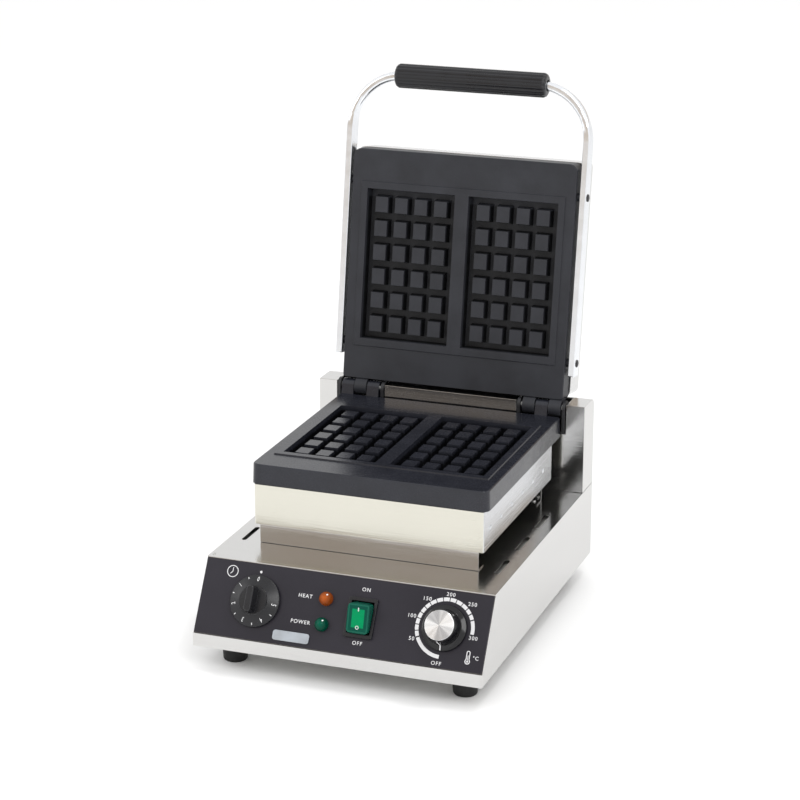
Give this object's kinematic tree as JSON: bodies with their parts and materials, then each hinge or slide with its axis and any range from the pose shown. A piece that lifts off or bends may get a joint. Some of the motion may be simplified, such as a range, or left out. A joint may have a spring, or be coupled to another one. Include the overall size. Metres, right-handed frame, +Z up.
{
  "type": "waffle maker",
  "caption": "Countertop waffle maker with a brushed steel body, rectangular grid plates, a fold-up lid with a bar handle, and a timer, thermostat and rocker switch on a sloping panel.",
  "frame": {"origin": "centre of the footprint of the whole object with its lid open, on the surface that its feet stand on", "axes": "+X to the user's right, +Y to the rear, where the hinge is, +Z up"},
  "size_m": [0.3, 0.4645, 0.5408],
  "materials": {
    "housing_steel": "brushed stainless sheet",
    "skirt_steel": "brushed stainless sheet, slightly warm",
    "plated_steel": "zinc plated sheet",
    "screw_steel": "plated steel",
    "dark_screw": "blackened steel",
    "element_steel": "heat-darkened steel tube",
    "cast_plate": "cast aluminium with a dark semi-gloss non-stick coat",
    "bracket_paint": "black painted steel",
    "panel_paint": "charcoal painted steel",
    "badge_metal": "plain satin plate",
    "black_plastic": "matte moulded",
    "gloss_knob": "gloss moulded",
    "cap_aluminium": "spun, radial grain",
    "orange_lens": "translucent orange",
    "green_lens": "translucent green",
    "green_rocker": "translucent green",
    "handle_chrome": "polished chrome",
    "rubber": "moulded rubber",
    "ceramic": "off-white moulded insulating body",
    "mineral_wool": "mineral wool blanket",
    "copper_line": "thin metal line and bulb"
  },
  "bodies": {
    "base": {"base_housing": "housing_steel", "base_pan": "plated_steel", "foot_front_left": "rubber", "foot_rear_left": "rubber", "foot_front_right": "rubber", "foot_rear_right": "rubber", "foot_screw_front_left": "screw_steel", "foot_screw_rear_left": "screw_steel", "foot_screw_front_right": "screw_steel", "foot_screw_rear_right": "screw_steel", "control_panel": "panel_paint", "panel_badge": "badge_metal", "heat_lamp_lens": "orange_lens", "heat_lamp_socket": "black_plastic", "power_lamp_lens": "green_lens", "power_lamp_socket": "black_plastic", "timer_body": "ceramic", "thermostat_body": "ceramic", "thermostat_capillary": "copper_line", "switch_housing": "black_plastic", "switch_pivot_pin": "screw_steel", "terminal_block": "ceramic", "cable_gland": "black_plastic", "gland_nut": "black_plastic", "front_spacer": "housing_steel", "rear_spacer": "housing_steel", "wire_conduit": "plated_steel", "lower_skirt": "skirt_steel", "lower_plate": "cast_plate", "lower_heating_element": "element_steel", "lower_clamp_plate": "plated_steel", "lower_clamp_bolt": "screw_steel", "lower_insulation": "mineral_wool", "rear_housing": "housing_steel", "hinge_beam": "plated_steel", "hinge_bracket_left": "bracket_paint", "hinge_bracket_right": "bracket_paint", "hinge_pin_left": "screw_steel", "hinge_pin_right": "screw_steel"},
    "lid": {"upper_plate": "cast_plate", "upper_heating_element": "element_steel", "upper_clamp_plate": "plated_steel", "upper_clamp_bolt": "screw_steel", "upper_insulation": "mineral_wool", "upper_cover": "skirt_steel", "cover_screw_front": "screw_steel", "cover_screw_rear": "screw_steel", "handle_bar": "handle_chrome", "handle_grip": "black_plastic", "handle_screw_left_lower": "dark_screw", "handle_screw_left_upper": "dark_screw", "handle_screw_right_lower": "dark_screw", "handle_screw_right_upper": "dark_screw"},
    "timer": {"timer_knob": "black_plastic", "timer_shaft": "screw_steel"},
    "thermostat": {"thermostat_knob": "gloss_knob", "thermostat_cap": "cap_aluminium", "thermostat_shaft": "screw_steel"},
    "rocker": {"switch_rocker": "green_rocker"}
  },
  "joints": [
    {"name": "lid_hinge", "type": "hinge", "parent": "base", "child": "lid", "pos_m": [0, 0.1216, 0.1958], "axis": [1, 0, 0], "range_deg": [0, 98.8]},
    {"name": "timer_turn", "type": "hinge", "parent": "base", "child": "timer", "pos_m": [-0.0905, -0.20764, 0.07263], "axis": [0, 0.8614, -0.5079], "range_deg": [0, 266]},
    {"name": "thermostat_turn", "type": "hinge", "parent": "base", "child": "thermostat", "pos_m": [0.1056, -0.20764, 0.07263], "axis": [0, 0.8614, -0.5079], "range_deg": [0, 270]},
    {"name": "switch_rock", "type": "hinge", "parent": "base", "child": "rocker", "pos_m": [0.0205, -0.2098, 0.07192], "axis": [-1, 0, 0], "range_deg": [0, 28]}
  ]
}
